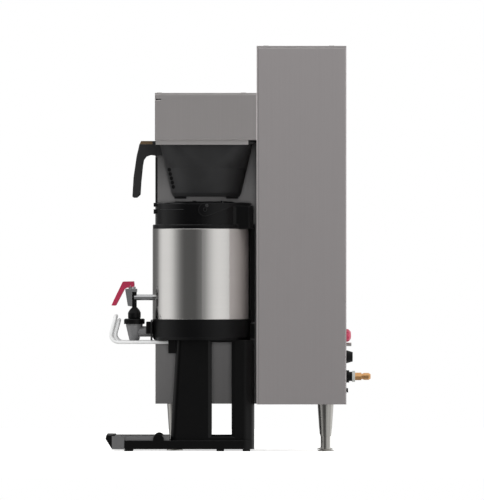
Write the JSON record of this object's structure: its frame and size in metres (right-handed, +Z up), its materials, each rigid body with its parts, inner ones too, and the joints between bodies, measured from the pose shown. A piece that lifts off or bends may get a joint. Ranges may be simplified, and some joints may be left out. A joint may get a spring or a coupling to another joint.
{
  "type": "twin coffee brewer",
  "caption": "Twin commercial coffee brewer: tall steel tower and head over black funnel baskets, with docked thermal servers on stands with faucets.",
  "frame": {"origin": "on the counter, at the middle of the whole assembly's width and depth", "axes": "+Z up, -Y towards the front where the faucets are, +X to the right seen from the front"},
  "size_m": [0.558, 0.5992, 0.9161],
  "materials": {
    "brushed_stainless": "fine vertical grain, satin",
    "jacket_steel": "fine grain round the jacket, bright",
    "tank_steel": "plain mill finish",
    "leg_steel": "polished, lightly brushed",
    "chrome": "bright",
    "brass": "machined, lightly dulled",
    "black_plastic": "moulded, satin",
    "black_gloss": "smooth",
    "basket_black": "moulded, matt",
    "screen_glass": "dark glass, switched off",
    "grey_plastic": "moulded, satin",
    "faucet_grey": "smooth moulded grey",
    "red_plastic": "smooth moulded red",
    "amber_plastic": "smooth moulded amber",
    "white_plastic": "moulded",
    "clear_silicone": "soft, translucent",
    "circuit_board": "coated board"
  },
  "bodies": {
    "brewer": {"tower_wrap": "brushed_stainless", "tower_rear_panel": "brushed_stainless", "tower_top_cover": "brushed_stainless", "tower_base": "brushed_stainless", "head_wrap": "brushed_stainless", "head_top_cover": "brushed_stainless", "cover_screws": "leg_steel", "center_column": "brushed_stainless", "column_front_panel": "black_gloss", "touch_screen": "screen_glass", "control_board": "circuit_board", "basket_rails": "brushed_stainless", "spray_heads": "black_plastic", "water_valves": "white_plastic", "water_hoses": "clear_silicone", "boiler_tank": "tank_steel", "heating_elements": "tank_steel", "leg_tubes": "leg_steel", "leg_feet": "leg_steel", "drain_valve": "tank_steel", "cable_gland": "black_plastic", "inlet_bulkhead": "black_plastic", "inlet_fitting": "brass", "power_switch_housing": "black_plastic"},
    "basket_right": {"basket_right_shell": "basket_black", "basket_right_handle": "basket_black", "basket_right_insert": "amber_plastic"},
    "server_right": {"server_right_stand": "black_plastic", "server_right_vessel": "jacket_steel", "server_right_collar": "black_plastic", "server_right_base": "black_plastic", "server_right_faucet_body": "faucet_grey", "server_right_faucet_bonnet": "black_plastic", "server_right_lever_bracket": "chrome", "server_right_guard": "chrome"},
    "tray_right": {"server_right_drip_tray": "grey_plastic", "server_right_drip_grille": "black_plastic"},
    "lever_right": {"server_right_lever": "red_plastic"},
    "stem_right": {"server_right_faucet_stem": "chrome"},
    "bail_right": {"server_right_bail": "black_plastic"},
    "lid_right": {"server_right_lid": "black_plastic"},
    "basket_left": {"basket_left_shell": "basket_black", "basket_left_handle": "basket_black", "basket_left_insert": "amber_plastic"},
    "server_left": {"server_left_stand": "black_plastic", "server_left_vessel": "jacket_steel", "server_left_collar": "black_plastic", "server_left_base": "black_plastic", "server_left_faucet_body": "faucet_grey", "server_left_faucet_bonnet": "black_plastic", "server_left_lever_bracket": "chrome", "server_left_guard": "chrome"},
    "tray_left": {"server_left_drip_tray": "grey_plastic", "server_left_drip_grille": "black_plastic"},
    "lever_left": {"server_left_lever": "red_plastic"},
    "stem_left": {"server_left_faucet_stem": "chrome"},
    "bail_left": {"server_left_bail": "black_plastic"},
    "lid_left": {"server_left_lid": "black_plastic"},
    "drain_knob": {"drain_knob": "red_plastic"},
    "power_rocker": {"power_rocker": "black_plastic"}
  },
  "joints": [
    {"name": "basket_right_slide", "type": "slide", "parent": "brewer", "child": "basket_right", "axis": [0, -1, 0], "range_m": [0, 0.24]},
    {"name": "server_right_slide", "type": "slide", "parent": "brewer", "child": "server_right", "axis": [0, -1, 0], "range_m": [0, 0.24]},
    {"name": "drip_tray_right_slide", "type": "slide", "parent": "server_right", "child": "tray_right", "axis": [0, -1, 0], "range_m": [0, 0.12]},
    {"name": "faucet_lever_right_tip", "type": "hinge", "parent": "server_right", "child": "lever_right", "pos_m": [0.1605, -0.244, 0.372], "axis": [-1, 0, 0], "range_deg": [0, 20]},
    {"name": "faucet_stem_right_press", "type": "slide", "parent": "server_right", "child": "stem_right", "axis": [0, 0, -1], "range_m": [0, 0.0027]},
    {"name": "bail_right_swing", "type": "hinge", "parent": "server_right", "child": "bail_right", "pos_m": [0.1605, -0.0745, 0.5455], "axis": [1, 0, 0], "range_deg": [0, 15]},
    {"name": "lid_right_turn", "type": "hinge", "parent": "server_right", "child": "lid_right", "pos_m": [0.1605, -0.0819, 0.545], "axis": [0, 0, 1], "range_deg": [0, 30]},
    {"name": "basket_left_slide", "type": "slide", "parent": "brewer", "child": "basket_left", "axis": [0, -1, 0], "range_m": [0, 0.24]},
    {"name": "server_left_slide", "type": "slide", "parent": "brewer", "child": "server_left", "axis": [0, -1, 0], "range_m": [0, 0.24]},
    {"name": "drip_tray_left_slide", "type": "slide", "parent": "server_left", "child": "tray_left", "axis": [0, -1, 0], "range_m": [0, 0.12]},
    {"name": "faucet_lever_left_tip", "type": "hinge", "parent": "server_left", "child": "lever_left", "pos_m": [-0.1605, -0.244, 0.372], "axis": [-1, 0, 0], "range_deg": [0, 20]},
    {"name": "faucet_stem_left_press", "type": "slide", "parent": "server_left", "child": "stem_left", "axis": [0, 0, -1], "range_m": [0, 0.0027]},
    {"name": "bail_left_swing", "type": "hinge", "parent": "server_left", "child": "bail_left", "pos_m": [-0.1605, -0.0745, 0.5455], "axis": [1, 0, 0], "range_deg": [0, 15]},
    {"name": "lid_left_turn", "type": "hinge", "parent": "server_left", "child": "lid_left", "pos_m": [-0.1605, -0.0819, 0.545], "axis": [0, 0, 1], "range_deg": [0, 30]},
    {"name": "drain_knob_turn", "type": "hinge", "parent": "brewer", "child": "drain_knob", "pos_m": [-0.15, 0.2442, 0.26], "axis": [0, 1, 0], "range_deg": [0, 90]},
    {"name": "power_rocker_tip", "type": "hinge", "parent": "brewer", "child": "power_rocker", "pos_m": [0.06, 0.2422, 0.1365], "axis": [-1, 0, 0], "range_deg": [0, 12]}
  ],
  "couplings": [
    {"joint": "faucet_stem_right_press", "follows": "faucet_lever_right_tip", "m_per_rad": 0.0077},
    {"joint": "faucet_stem_left_press", "follows": "faucet_lever_left_tip", "m_per_rad": 0.0077}
  ]
}
